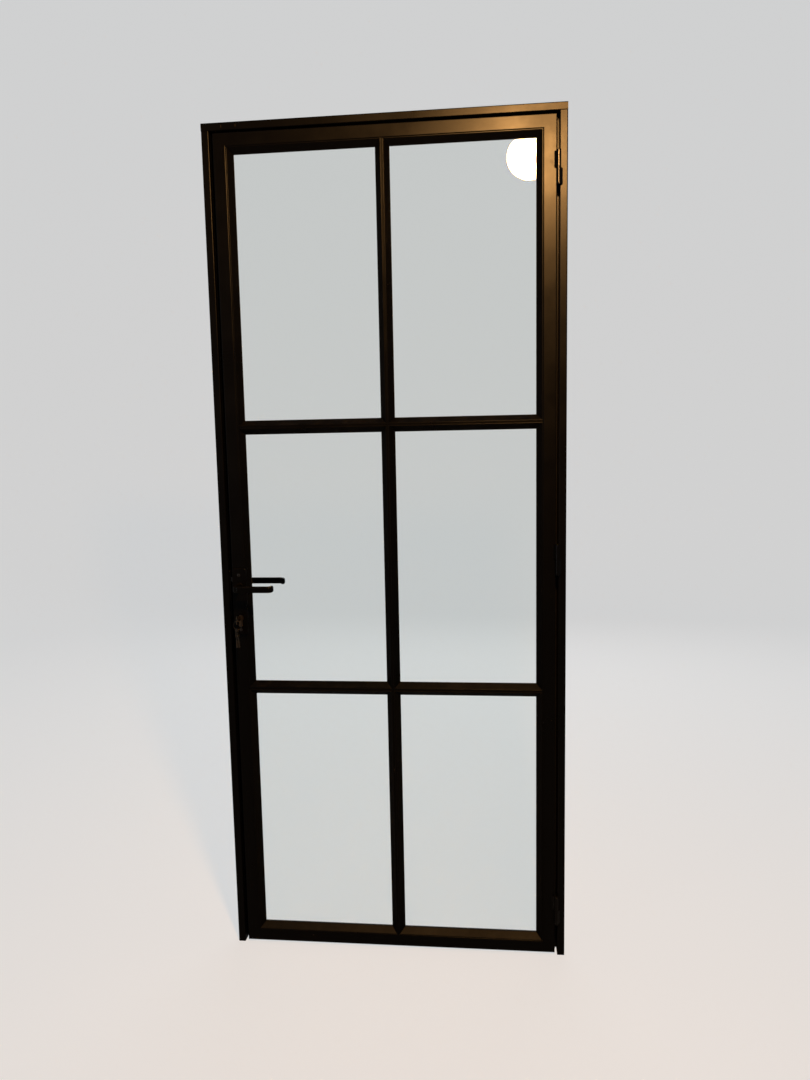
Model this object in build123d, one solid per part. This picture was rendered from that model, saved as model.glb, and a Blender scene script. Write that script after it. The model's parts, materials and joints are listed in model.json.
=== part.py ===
"""Steel-framed glass door with its frame: two columns and three rows of clear panes.

Millimetres. X runs to the right and Z up, seen from the side that the leaf opens
towards, which faces -Y. The origin is at the middle of the frame, on the floor,
halfway through the leaf's thickness.
"""
import os
from math import radians, sin

from build123d import *

# Leaf and the gaps round it
leaf_width = 878
leaf_height = 2225
leaf_depth = 30
lock_gap = 9
hinge_gap = 6.5
head_gap = 6
floor_gap = 6

# Outer frame
member_face = 20
frame_depth = 40
stop_width = 11
stop_thickness = 4
seal_width = 8
seal_wall = 1.2
seal_clearance = 0.3
fixing_hole = 8
fixing_margin = 160
fixing_count = 4

# Steel sections
tube_wall = 2
tube_corner = 2.5
least_corner = 0.3
stile_face = 34
flange_width = 13
flange_thickness = 4
bar_web = 4
root_radius = 2
edge_radius = 1

# Glazing
pane_columns = 2
pane_rows = 3
glass_thickness = 6
glass_clearance = 3
rear_tape = 2
front_tape = 1.5
tape_width = 8
block_length = 60
block_inset = 70
bead_width = 16
bead_nose = 2.25
bead_lip = 1.5
bead_foot = 9
bead_leg = 12
bead_wall = 1.5
bead_bend = 1
mitre_gap = 0.1
stud_diameter = 5
stud_height = 4
stud_inset = 90
studs_per_side_bead = 3
studs_per_cross_bead = 2

# Hinges
barrel_diameter = 12
knuckle_length = 39
washer_thickness = 2
washer_setback = 0.5
pin_diameter = 8
pin_clearance = 0.05
barrel_clearance = 0.2
hinge_inset = 130
hinge_tail = 10
hinge_tail_edge = 1.5
barrel_chamfer = 1

# Handle set
spindle_height = 1042.5
backset = 22
spindle_side = 8
spindle_clearance = 0.05
lever_reach = 105.5
lever_height = 17.5
lever_thickness = 11
lever_corner = 4.5
lever_stand = 59
lever_bend = 13
lever_return = 6
lever_return_bend = 8
collar_diameter = 21
collar_thickness = 3
neck_diameter = 16
neck_clearance = 0.05
neck_gap = 0.3
neck_hole_margin = 2
bush_diameter = 21
plate_width = 39
plate_above = 49
plate_below = 46
plate_thickness = 9
plate_wall = 2.5
plate_corner = 6
plate_edge = 1
plate_screw = 5
plate_screw_head = 9
screw_above = 31
screw_below = 33
post_diameter = 8
post_length = 14
post_clearance = 0.5
thread_clearance = 0.05
screw_clearance = 0.2
boss_wall = 2.5
grub_diameter = 5
grub_inset = 10

# Lock
cylinder_drop = 88
case_thickness = 15
case_below = 27
case_wall = 1.5
case_back_gap = 0.2
faceplate_width = 20
faceplate_thickness = 3
faceplate_above = 55
faceplate_below = 55
faceplate_gap = 0.2
lug_length = 18
lug_thickness = 3
face_screw = 5
face_screw_head = 9
latch_height = 11
latch_throw = 12
latch_head = 16
latch_point = 1
latch_tail_height = 3.2
latch_tooth = 2.6
bolt_drop = 57
bolt_height = 20
bolt_throw = 14
bolt_length = 28
bolt_clearance = 0.4
hub_diameter = 16
journal_diameter = 13
journal_clearance = 0.05
handle_turn = 38
arm_start = 21.5
arm_width = 4
arm_gap = 0.2
strike_width = 22
strike_thickness = 3
strike_margin = 22
strike_hole_margin = 1
screw_reach = 3

# Profile cylinder and its keys
cylinder_round = 17
cylinder_web = 10
cylinder_depth = 33
cylinder_half = 27
cylinder_clearance = 0.3
plug_diameter = 13
plug_clearance = 0.05
cam_width = 9.6
cam_slot = 10
cam_radius = 8.5
cam_nose = 5
cam_ring = 13
cam_clearance = 0.5
cylinder_screw_drop = 19
cylinder_screw_cover = 1
key_thickness = 2.2
key_blade_height = 8
key_blade_length = 19
key_clearance = 0.1
keyway_run_out = 0.5
key_shoulder = 10
key_neck = 11
bow_height = 26
bow_length = 26
bow_corner = 9
bow_hole = 7
bow_hole_inset = 8
bite_width = 3.4
bite_depths = (1.2, 2.4, 1.6, 2.8, 1.0)
key_groove_height = 2
key_groove_depth = 0.5
ring_radius = 11.5
ring_wire = 1.4
hang_gap = 0.3
spare_key_offset = 1.5
spare_key_splay = 2

# Places that follow from the sizes
overall_width = 2 * member_face + lock_gap + leaf_width + hinge_gap
overall_height = floor_gap + leaf_height + head_gap + member_face
jamb_height = overall_height - member_face
lock_jamb_face = -overall_width / 2 + member_face
hinge_jamb_face = overall_width / 2 - member_face
leaf_left = lock_jamb_face + lock_gap
leaf_right = leaf_left + leaf_width
leaf_bottom = floor_gap
leaf_top = leaf_bottom + leaf_height

face_front = -leaf_depth / 2
face_rear = leaf_depth / 2
flange_front = face_rear - flange_thickness
glass_rear = flange_front - rear_tape
glass_front = glass_rear - glass_thickness
bead_back = glass_front - front_tape
frame_rear = face_front + frame_depth
frame_middle = face_front + frame_depth / 2
stop_front = frame_rear - stop_thickness

cell_left = leaf_left + stile_face
cell_right = leaf_right - stile_face
cell_bottom = leaf_bottom + stile_face
cell_top = leaf_top - stile_face
cell_width = (cell_right - cell_left - bar_web * (pane_columns - 1)) / pane_columns
cell_height = (cell_top - cell_bottom - bar_web * (pane_rows - 1)) / pane_rows

hinge_axis_x = leaf_right + hinge_gap / 2
hinge_axis_y = face_front - barrel_diameter / 2 - barrel_clearance
hinge_heights = {
    "bottom": leaf_bottom + hinge_inset,
    "middle": (leaf_bottom + leaf_top) / 2,
    "top": leaf_top - hinge_inset,
}

lock_x = leaf_left + backset
spindle_z = leaf_bottom + spindle_height
cylinder_z = spindle_z - cylinder_drop
case_left = leaf_left + faceplate_thickness
case_right = leaf_left + stile_face - tube_wall - case_back_gap
case_bottom = cylinder_z - case_below
faceplate_top = spindle_z + faceplate_above
faceplate_bottom = cylinder_z - faceplate_below
arm_reach = latch_throw / (sin(radians(arm_start)) + sin(radians(handle_turn - arm_start)))
arm_face = -arm_reach * sin(radians(arm_start))
latch_top = spindle_z + arm_reach + arm_gap + latch_tail_height
latch_z = latch_top - latch_height / 2
case_top = latch_top + 2 * bolt_clearance + case_wall
bolt_z = spindle_z - bolt_drop
screw_heights = (spindle_z + screw_above, cylinder_z - screw_below)
plate_face = face_front - plate_thickness
lever_y = face_front - lever_stand
grub_y = plate_face - grub_inset
cylinder_screw_z = cylinder_z - cylinder_screw_drop


def block(x_low, x_high, y_low, y_high, z_low, z_high):
    """A box between two corners."""
    size = (x_high - x_low, y_high - y_low, z_high - z_low)
    middle = ((x_low + x_high) / 2, (y_low + y_high) / 2, (z_low + z_high) / 2)
    return Pos(*middle) * Box(*size)


def rod_y(diameter, y_low, y_high, x, z):
    """A round rod through the leaf's thickness."""
    return Pos(x, (y_low + y_high) / 2, z) * Rot(90, 0, 0) * Cylinder(diameter / 2, y_high - y_low)


def rod_x(diameter, x_low, x_high, y, z):
    """A round rod across the door."""
    return Pos((x_low + x_high) / 2, y, z) * Rot(0, 90, 0) * Cylinder(diameter / 2, x_high - x_low)


def rod_z(diameter, z_low, z_high, x, y):
    """An upright round rod."""
    return Pos(x, y, (z_low + z_high) / 2) * Cylinder(diameter / 2, z_high - z_low)


def prism_y(sketch, y_low, y_high, x, z):
    """A sketch drawn in X and Z, given a thickness along Y."""
    plane = Plane((x, y_low, z), x_dir=(1, 0, 0), z_dir=(0, -1, 0))
    return extrude(plane * sketch, y_low - y_high)


def corners_at(sketch, x, y):
    """The corners of a sketch at one place."""
    return [v for v in sketch.vertices() if abs(v.X - x) < 0.001 and abs(v.Y - y) < 0.001]


def hollow(width, depth):
    """The section of a rectangular steel tube, centred."""
    inner_corner = max(tube_corner - tube_wall, least_corner)
    inner = RectangleRounded(width - 2 * tube_wall, depth - 2 * tube_wall, inner_corner)
    return RectangleRounded(width, depth, tube_corner) - inner


def mitred(section, length, reach, gap=0.0):
    """A section run upwards, its ends cut at 45 degrees; X is the way in from the outer edge."""
    run = extrude(section, length, dir=(0, 0, 1))
    outline = Polyline((0, gap), (reach, reach + gap), (reach, length - reach - gap), (0, length - gap),
                       close=True)
    wedge = extrude(Plane.XZ * make_face(outline), leaf_depth, both=True)
    return run & wedge


def around(left, right, bottom, top, side, cross):
    """Four mitred members round a rectangle, by name."""
    return {
        "left": Pos(left, 0, bottom) * side,
        "bottom": Pos(right, 0, bottom) * Rot(0, -90, 0) * cross,
        "right": Pos(right, 0, top) * Rot(0, 180, 0) * side,
        "top": Pos(left, 0, top) * Rot(0, 90, 0) * cross,
    }


def cell(column, row):
    """The rebate of one pane: its left, right, bottom and top."""
    left = cell_left + column * (cell_width + bar_web)
    bottom = cell_bottom + row * (cell_height + bar_web)
    return left, left + cell_width, bottom, bottom + cell_height


def cells():
    """Every pane's name and rebate, from the bottom left."""
    columns = ["left", "right"] if pane_columns == 2 else [str(n + 1) for n in range(pane_columns)]
    rows = ["lower", "middle", "upper"] if pane_rows == 3 else [str(n + 1) for n in range(pane_rows)]
    for row, row_name in enumerate(rows):
        for column, column_name in enumerate(columns):
            yield f"{row_name}_{column_name}", cell(column, row)


def fixing_heights():
    """Heights of the wall fixings in each jamb, evenly spaced."""
    step = (jamb_height - 2 * fixing_margin) / (fixing_count - 1)
    return [fixing_margin + n * step for n in range(fixing_count)]


def jamb(middle_x):
    """One side tube of the outer frame, with its wall fixing holes."""
    tube = Pos(middle_x, frame_middle, 0) * extrude(hollow(member_face, frame_depth), jamb_height)
    for z in fixing_heights():
        tube -= rod_x(fixing_hole, middle_x - member_face, middle_x + member_face, frame_middle, z)
    return tube


def lock_jamb():
    """The jamb that the latch and bolt enter."""
    tube = jamb(lock_jamb_face - member_face / 2)
    for z, height in strike_openings():
        half_width = strike_opening_width() / 2
        tube -= block(lock_jamb_face - tube_wall - 1, lock_jamb_face + 1,
                      -half_width, half_width, z - height / 2, z + height / 2)
    for z in strike_screw_heights():
        tube -= rod_x(face_screw, lock_jamb_face - tube_wall - 1, lock_jamb_face + 1, 0, z)
    return tube


def head():
    """The top tube, laid across both jambs."""
    tube = extrude(hollow(member_face, frame_depth), overall_width)
    return Pos(-overall_width / 2, frame_middle, jamb_height + member_face / 2) * Rot(0, 90, 0) * tube


def frame_stops():
    """Flat bars along the back of the frame that the leaf closes against."""
    lock_side = block(lock_jamb_face, lock_jamb_face + stop_width, stop_front, frame_rear, 0, jamb_height)
    hinge_side = block(hinge_jamb_face - stop_width, hinge_jamb_face, stop_front, frame_rear, 0, jamb_height)
    across = block(lock_jamb_face + stop_width, hinge_jamb_face - stop_width, stop_front, frame_rear,
                   jamb_height - stop_width, jamb_height)
    return [lock_side, hinge_side, across]


def seal_section():
    """A hollow rubber strip, centred."""
    depth = stop_front - face_rear - seal_clearance
    corner = min(seal_width, depth) / 3
    inner = RectangleRounded(seal_width - 2 * seal_wall, depth - 2 * seal_wall, corner - seal_wall / 2)
    return RectangleRounded(seal_width, depth, corner) - inner


def frame_seal():
    """Rubber strips on the front of the stops, at their inner edges."""
    middle_y = (stop_front + face_rear + seal_clearance) / 2
    strip_inset = stop_width - seal_width / 2
    strip_top = jamb_height - stop_width
    upright = extrude(seal_section(), strip_top)
    lock_side = Pos(lock_jamb_face + strip_inset, middle_y, 0) * upright
    hinge_side = Pos(hinge_jamb_face - strip_inset, middle_y, 0) * upright
    start = lock_jamb_face + stop_width - seal_width
    run = hinge_jamb_face - stop_width + seal_width - start
    level = Pos(start, middle_y, strip_top + seal_width / 2) * Rot(0, 90, 0) * extrude(seal_section(), run)
    return [lock_side, hinge_side, level]


def strike_opening_width():
    """Width of the strike's openings, through the leaf's thickness."""
    return case_thickness - 2 * case_wall - 2 * bolt_clearance + 2 * strike_hole_margin


def strike_openings():
    """Height and middle of the openings for the latch and the bolt."""
    return [(latch_z, latch_height + 2 * strike_hole_margin), (bolt_z, bolt_height + 2 * strike_hole_margin)]


def strike_ends():
    """Top and bottom of the strike plate."""
    return latch_z + latch_height / 2 + strike_margin, bolt_z - bolt_height / 2 - strike_margin


def strike_screw_heights():
    """Heights of the strike plate's two screws."""
    top, bottom = strike_ends()
    return [top - strike_margin / 2, bottom + strike_margin / 2]


def flush_screw_x(shank, head_diameter, outer_x, inner_x, y, z, length):
    """A countersunk screw along X: its head's top lies at outer_x and it points at inner_x."""
    way = 1 if inner_x > outer_x else -1
    sink = (head_diameter - shank) / 2
    cone = Cone(head_diameter / 2, shank / 2, sink)
    seated = Pos(outer_x + way * sink / 2, y, z) * Rot(0, 90 * way, 0) * cone
    low, high = sorted((outer_x + way * sink, outer_x + way * length))
    return seated + rod_x(shank, low, high, y, z)


def strike_plate():
    """The plate on the lock jamb that the latch and bolt enter."""
    top, bottom = strike_ends()
    outer = lock_jamb_face + strike_thickness
    plate = block(lock_jamb_face, outer, -strike_width / 2, strike_width / 2, bottom, top)
    plate = fillet(plate.edges().filter_by(Axis.X), strike_width / 4)
    half_width = strike_opening_width() / 2
    for z, height in strike_openings():
        plate -= block(lock_jamb_face - 1, outer + 1, -half_width, half_width,
                       z - height / 2, z + height / 2)
    for z in strike_screw_heights():
        plate -= flush_screw_x(face_screw, face_screw_head, outer, lock_jamb_face, 0, z,
                               strike_thickness + 1)
    return plate


def strike_screws():
    """The two countersunk screws of the strike plate."""
    outer = lock_jamb_face + strike_thickness
    length = strike_thickness + tube_wall + screw_reach
    return [flush_screw_x(face_screw, face_screw_head, outer, lock_jamb_face, 0, z, length)
            for z in strike_screw_heights()]


def leaf_section():
    """A tube with a rear flange for the glass; X runs in from the leaf's edge."""
    tube = Pos(stile_face / 2, 0) * RectangleRounded(stile_face, leaf_depth, tube_corner)
    flange_start = stile_face - tube_corner
    flange_run = flange_width + tube_corner
    flange = Pos(flange_start + flange_run / 2, (flange_front + face_rear) / 2) * Rectangle(
        flange_run, flange_thickness)
    inner_corner = max(tube_corner - tube_wall, least_corner)
    inner = Pos(stile_face / 2, 0) * RectangleRounded(
        stile_face - 2 * tube_wall, leaf_depth - 2 * tube_wall, inner_corner)
    section = (tube + flange) - inner
    tips = corners_at(section, stile_face + flange_width, face_rear)
    return fillet(tips, edge_radius)


def leaf_members():
    """The leaf's four mitred members, by side."""
    reach = stile_face + flange_width
    side = mitred(leaf_section(), leaf_height, reach)
    cross = mitred(leaf_section(), leaf_width, reach)
    return around(leaf_left, leaf_right, leaf_bottom, leaf_top, side, cross)


def cylinder_outline(margin=0.0):
    """The profile cylinder's outline about its plug: a round head on a narrow web."""
    radius = cylinder_round / 2 + margin
    web_end = cylinder_depth - cylinder_round / 2 + margin
    web_width = cylinder_web + 2 * margin
    web = Pos(0, -(web_end - web_width / 2) / 2) * Rectangle(web_width, web_end - web_width / 2)
    return Circle(radius) + web + Pos(0, web_width / 2 - web_end) * Circle(web_width / 2)


def lock_stile(stile):
    """The lock stile, cut for the lock, its faceplate, the cylinder, the spindle and the screws."""
    cut_half = faceplate_width / 2 + faceplate_gap
    stile -= block(leaf_left - 1, leaf_left + tube_wall + 1, -cut_half, cut_half,
                   faceplate_bottom - faceplate_gap, faceplate_top + faceplate_gap)
    stile -= rod_y(neck_diameter + 2 * neck_hole_margin, face_front - 1, face_rear + 1, lock_x, spindle_z)
    stile -= prism_y(cylinder_outline(cylinder_clearance), face_front - 1, face_rear + 1, lock_x, cylinder_z)
    for z in screw_heights:
        stile -= rod_y(post_diameter + 2 * post_clearance, face_front - 1, face_rear + 1, lock_x, z)
    return stile


def lock_lugs():
    """Tabs welded inside the stile that the faceplate is screwed to."""
    half = leaf_depth / 2 - tube_wall
    lugs = []
    for end, way in ((faceplate_top, -1), (faceplate_bottom, 1)):
        low, high = sorted((end, end + way * lug_length))
        lug = block(case_left, case_left + lug_thickness, -half, half, low, high)
        hole_z = end + way * lug_length / 2
        lugs.append(lug - rod_x(face_screw, case_left - 1, case_left + lug_thickness + 1, 0, hole_z))
    return lugs


def bar_section():
    """A rolled T: the web stands towards the front, the flange lies at the back."""
    web = Rectangle(bar_web, leaf_depth)
    flange = Pos(0, (flange_front + face_rear) / 2) * Rectangle(2 * flange_width + bar_web, flange_thickness)
    section = web + flange
    roots = corners_at(section, bar_web / 2, flange_front) + corners_at(section, -bar_web / 2, flange_front)
    section = fillet(roots, root_radius)
    half = flange_width + bar_web / 2
    return fillet(corners_at(section, half, face_rear) + corners_at(section, -half, face_rear), edge_radius)


def bar(length):
    """A T bar run upwards, its flange cut back where it meets the flanges at its ends."""
    half = flange_width + bar_web / 2 + 1
    run = extrude(bar_section(), length)
    for low, high in ((-1, flange_width), (length - flange_width, length + 1)):
        run -= block(-half, half, flange_front, face_rear + 1, low, high)
        run -= block(bar_web / 2, half, flange_front - root_radius, face_rear, low, high)
        run -= block(-half, -bar_web / 2, flange_front - root_radius, face_rear, low, high)
    for low, high in ((-1, root_radius), (length - root_radius, length + 1)):
        run -= block(-bar_web, bar_web, flange_front - root_radius, face_rear, low, high)
    return run


def vertical_bars():
    """The upright bars between the columns, from rail to rail."""
    bars = {}
    for column in range(1, pane_columns):
        x = cell_left + column * (cell_width + bar_web) - bar_web / 2
        name = "vertical_bar" if pane_columns == 2 else f"vertical_bar_{column}"
        bars[name] = Pos(x, 0, cell_bottom) * bar(cell_top - cell_bottom)
    return bars


def cross_bars():
    """The level bars between the rows, one piece in each column."""
    bars = {}
    for name, (left, right, bottom, top) in cells():
        if bottom > cell_bottom + 1:
            level = Pos(left, 0, bottom - bar_web / 2) * Rot(0, 90, 0) * bar(right - left)
            bars[f"bar_under_{name}"] = level
    return bars


def bead_section():
    """A folded glazing bead: leg, nose, slope, lip and foot; X runs in from the steel."""
    line = Polyline(
        (0, face_front + bead_leg),
        (0, face_front),
        (bead_nose, face_front),
        (bead_width, bead_back - bead_lip),
        (bead_width, bead_back),
        (bead_width - bead_foot, bead_back),
    )
    section = make_face(offset(line, amount=bead_wall, side=Side.LEFT))
    bends = corners_at(section, 0, face_front) + corners_at(section, bead_nose, face_front)
    return fillet(bends, bead_bend)


def beads():
    """Four mitred beads round each pane, by pane."""
    section = bead_section()
    side = mitred(section, cell_height, bead_width, mitre_gap)
    cross = mitred(section, cell_width, bead_width, mitre_gap)
    return {f"beads_{name}": list(around(*bounds, side, cross).values()) for name, bounds in cells()}


def spread(length, inset, count):
    """Places along a length, evenly spaced between two insets."""
    step = (length - 2 * inset) / (count - 1)
    return [inset + n * step for n in range(count)]


def bead_studs():
    """Studs in the steel that the beads snap over, hidden inside each bead."""
    y = face_front + bead_leg + stud_diameter / 2
    studs = []
    for _, (left, right, bottom, top) in cells():
        for run in spread(top - bottom, stud_inset, studs_per_side_bead):
            studs.append(rod_x(stud_diameter, left, left + stud_height, y, bottom + run))
            studs.append(rod_x(stud_diameter, right - stud_height, right, y, bottom + run))
        for run in spread(right - left, stud_inset, studs_per_cross_bead):
            studs.append(rod_z(stud_diameter, bottom, bottom + stud_height, left + run, y))
            studs.append(rod_z(stud_diameter, top - stud_height, top, left + run, y))
    return studs


def loop(bounds, outer, inner, y_low, y_high):
    """A flat rectangular loop inside a rebate, between two insets."""
    left, right, bottom, top = bounds
    whole = block(left + outer, right - outer, y_low, y_high, bottom + outer, top - outer)
    return whole - block(left + inner, right - inner, y_low - 1, y_high + 1, bottom + inner, top - inner)


def glazing_tape():
    """Soft tape behind and in front of each pane."""
    tapes = []
    for _, bounds in cells():
        rear_inner = flange_width - edge_radius
        front_inner = bead_width - edge_radius
        tapes.append(loop(bounds, rear_inner - tape_width, rear_inner, glass_rear, flange_front))
        tapes.append(loop(bounds, front_inner - tape_width, front_inner, bead_back, glass_front))
    return tapes


def panes():
    """The clear panes, by name."""
    gap = glass_clearance
    return {f"pane_{name}": block(left + gap, right - gap, glass_front, glass_rear, bottom + gap, top - gap)
            for name, (left, right, bottom, top) in cells()}


def setting_blocks():
    """Packers that hold each pane clear of the steel."""
    half = block_length / 2
    blocks = []
    for _, (left, right, bottom, top) in cells():
        for x in spread(right - left, block_inset, 2):
            for low in (bottom, top - glass_clearance):
                blocks.append(block(left + x - half, left + x + half, glass_front, glass_rear,
                                    low, low + glass_clearance))
        for z in spread(top - bottom, block_inset, 2):
            for low in (left, right - glass_clearance):
                blocks.append(block(low, low + glass_clearance, glass_front, glass_rear,
                                    bottom + z - half, bottom + z + half))
    return blocks


def knuckle_section(way):
    """A drop-shaped knuckle: a round barrel with a tail welded to the steel on one side."""
    radius = barrel_diameter / 2
    tail_x = way * hinge_tail
    tail_y = face_front - hinge_axis_y
    corner = way * (hinge_gap / 2 + tube_corner)
    tail = make_face(Polyline((0, -radius), (tail_x, tail_y - hinge_tail_edge), (tail_x, tail_y),
                              (corner, tail_y), (0, radius - barrel_chamfer), close=True))
    return Circle(radius) + tail


def knuckles(way, lift):
    """Three knuckles of one kind; lift is where each starts, from the hinge's middle."""
    solids = []
    bore = Circle(pin_diameter / 2 + pin_clearance)
    body = extrude(knuckle_section(way) - bore, knuckle_length)
    for z in hinge_heights.values():
        solids.append(Pos(hinge_axis_x, hinge_axis_y, z + lift) * body)
    return solids


def hinge_frame_knuckles():
    """The lower knuckles, welded to the jamb, closed at the foot by the pin."""
    return knuckles(1, -knuckle_length - washer_thickness / 2)


def hinge_leaf_knuckles():
    """The upper knuckles, welded to the leaf, which lift off the pins."""
    return knuckles(-1, washer_thickness / 2)


def hinge_pins():
    """Round pins that fill the lower knuckles and stand up into the upper ones."""
    reach = knuckle_length + washer_thickness / 2
    return [rod_z(pin_diameter, z - reach, z + reach - barrel_chamfer, hinge_axis_x, hinge_axis_y)
            for z in hinge_heights.values()]


def hinge_washers():
    """Brass rings between the knuckles."""
    ring = Cylinder(barrel_diameter / 2 - washer_setback, washer_thickness) - Cylinder(
        pin_diameter / 2 + pin_clearance, washer_thickness + 1)
    return [Pos(hinge_axis_x, hinge_axis_y, z) * ring for z in hinge_heights.values()]


def handle_plate_shell():
    """A long handle plate on the front of the leaf, hollow behind, without its holes."""
    top = spindle_z + plate_above
    bottom = cylinder_z - plate_below
    middle_z = (top + bottom) / 2
    outline = RectangleRounded(plate_width, top - bottom, plate_corner)
    plate = prism_y(outline, plate_face, face_front, lock_x, middle_z)
    plate = fillet(plate.faces().sort_by(Axis.Y)[0].edges(), plate_edge)
    pocket = RectangleRounded(plate_width - 2 * plate_wall, top - bottom - 2 * plate_wall,
                              max(plate_corner - plate_wall, 1))
    plate -= prism_y(pocket, plate_face + plate_wall, face_front + 1, lock_x, middle_z)
    plate += rod_y(bush_diameter + 2 * boss_wall, plate_face + plate_wall, face_front, lock_x, spindle_z)
    plate += prism_y(cylinder_outline(cylinder_clearance + boss_wall), plate_face + plate_wall, face_front,
                     lock_x, cylinder_z)
    for z in screw_heights:
        plate += rod_y(plate_screw_head + boss_wall, plate_face + plate_wall, face_front, lock_x, z)
    plate -= rod_y(bush_diameter, plate_face - 1, face_front + 1, lock_x, spindle_z)
    plate -= prism_y(cylinder_outline(cylinder_clearance), plate_face - 1, face_front + 1, lock_x, cylinder_z)
    return plate


def to_rear(solid):
    """The same piece on the other side of the leaf."""
    return mirror(solid, about=Plane.XZ)


def plate_inside():
    """The plate on the opening side, countersunk for its screws."""
    plate = handle_plate_shell()
    sink = (plate_screw_head - plate_screw) / 2
    for z in screw_heights:
        plate -= rod_y(plate_screw + 2 * screw_clearance, plate_face - 1, face_front + 1, lock_x, z)
        plate -= Pos(lock_x, plate_face + sink / 2, z) * Rot(-90, 0, 0) * Cone(
            plate_screw_head / 2, plate_screw / 2, sink)
    return plate


def plate_outside():
    """The plate on the far side, with posts that take the screws."""
    plate = to_rear(handle_plate_shell())
    for z in screw_heights:
        plate += rod_y(post_diameter, face_rear - post_length, face_rear + 1, lock_x, z)
        plate -= rod_y(plate_screw + 2 * thread_clearance, face_rear - post_length - 1,
                       face_rear + plate_thickness / 2, lock_x, z)
    return plate


def plate_screws():
    """Countersunk screws through the leaf from the opening side."""
    sink = (plate_screw_head - plate_screw) / 2
    screws = []
    for z in screw_heights:
        cone = Pos(lock_x, plate_face + sink / 2, z) * Rot(-90, 0, 0) * Cone(
            plate_screw_head / 2, plate_screw / 2, sink)
        screws.append(cone + rod_y(plate_screw, plate_face + sink, face_rear, lock_x, z))
    return screws


def handle_bushes():
    """Plastic rings in the plates that the lever necks turn in."""
    bush = rod_y(bush_diameter, plate_face, face_front, lock_x, spindle_z)
    bush -= rod_y(neck_diameter + 2 * neck_clearance, plate_face - 1, face_front + 1, lock_x, spindle_z)
    return [bush, to_rear(bush)]


def lever():
    """The opening side's lever: collar, neck, bend, grip and a short return towards the leaf."""
    start = plate_face - collar_thickness
    tip_x = lock_x + lever_reach - lever_thickness / 2
    end_y = lever_y + lever_return_bend + lever_return
    path = FilletPolyline(
        (lock_x, start, spindle_z),
        (lock_x, lever_y, spindle_z),
        (tip_x, lever_y, spindle_z),
        (tip_x, end_y, spindle_z),
        radius=[lever_bend, lever_return_bend],
    )
    plane = Plane((lock_x, start, spindle_z), x_dir=(1, 0, 0), z_dir=(0, -1, 0))
    grip = sweep(plane * RectangleRounded(lever_thickness, lever_height, lever_corner), path)
    grip = fillet(grip.faces().sort_by(Axis.X)[-1].edges().filter_by(Axis.Z), edge_radius)
    collar = rod_y(collar_diameter, start, plate_face - neck_gap, lock_x, spindle_z)
    collar = chamfer(collar.faces().sort_by(Axis.Y)[0].edges(), edge_radius)
    neck = rod_y(neck_diameter, start, face_front - neck_gap, lock_x, spindle_z)
    socket_end = lever_y + lever_thickness
    half = spindle_side / 2 + spindle_clearance
    socket = block(lock_x - half, lock_x + half, socket_end, face_front + 1,
                   spindle_z - half, spindle_z + half)
    grub = rod_z(grub_diameter, spindle_z - lever_height, spindle_z, lock_x, grub_y)
    return grip + collar + neck - socket - grub


def spindle():
    """The square bar that joins both levers through the lock."""
    half = spindle_side / 2
    reach = -lever_y - lever_thickness
    return block(lock_x - half, lock_x + half, -reach, reach, spindle_z - half, spindle_z + half)


def grub_screws():
    """Small headless screws that hold the levers on the spindle, from below."""
    low = spindle_z - lever_height / 2 + 1
    near = rod_z(grub_diameter, low, spindle_z - spindle_side / 2, lock_x, grub_y)
    return [near, to_rear(near)]


def follower():
    """The lock's hub, turning on two journals; its arm pushes the tooth of the latch."""
    inner_half = slide_half() - bolt_clearance
    hub = rod_y(hub_diameter, -inner_half, inner_half, lock_x, spindle_z)
    journals = rod_y(journal_diameter, -case_thickness / 2, case_thickness / 2, lock_x, spindle_z)
    arm_section = Pos(arm_face - arm_width / 2, arm_reach / 2) * Rectangle(arm_width, arm_reach)
    arm = prism_y(arm_section & Circle(arm_reach), -inner_half, inner_half, lock_x, spindle_z)
    half = spindle_side / 2 + spindle_clearance
    hole = block(lock_x - half, lock_x + half, -case_thickness, case_thickness,
                 spindle_z - half, spindle_z + half)
    return hub + journals + arm - hole


def case_holes():
    """What passes through both sides of the lock case."""
    hub = rod_y(journal_diameter + 2 * journal_clearance, -case_thickness, case_thickness, lock_x, spindle_z)
    cylinder = prism_y(cylinder_outline(cylinder_clearance), -case_thickness, case_thickness,
                       lock_x, cylinder_z)
    return hub + cylinder


def lock_case():
    """The folded tray of the lock, open on the far side."""
    half = case_thickness / 2
    tray = block(case_left, case_right, -half, half, case_bottom, case_top)
    tray -= block(case_left + case_wall, case_right - case_wall, -half + case_wall, half + 1,
                  case_bottom + case_wall, case_top - case_wall)
    tray -= case_holes()
    for z, height in ((latch_z, latch_height), (bolt_z, bolt_height)):
        tray -= block(case_left - 1, case_left + case_wall + 1, -slide_half(), slide_half(),
                      z - height / 2 - bolt_clearance, z + height / 2 + bolt_clearance)
    return tray - cylinder_screw_hole()


def lock_cover():
    """The flat lid of the lock case, inside its rim."""
    half = case_thickness / 2
    lid = block(case_left + case_wall, case_right - case_wall, half - case_wall, half,
                case_bottom + case_wall, case_top - case_wall)
    return lid - case_holes()


def slide_half():
    """Half the width of the openings that the latch and bolt slide in."""
    return case_thickness / 2 - case_wall


def cylinder_screw_hole():
    """The way of the long screw that holds the cylinder."""
    return rod_x(face_screw + 2 * screw_clearance, leaf_left - 1, lock_x, 0, cylinder_screw_z)


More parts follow.
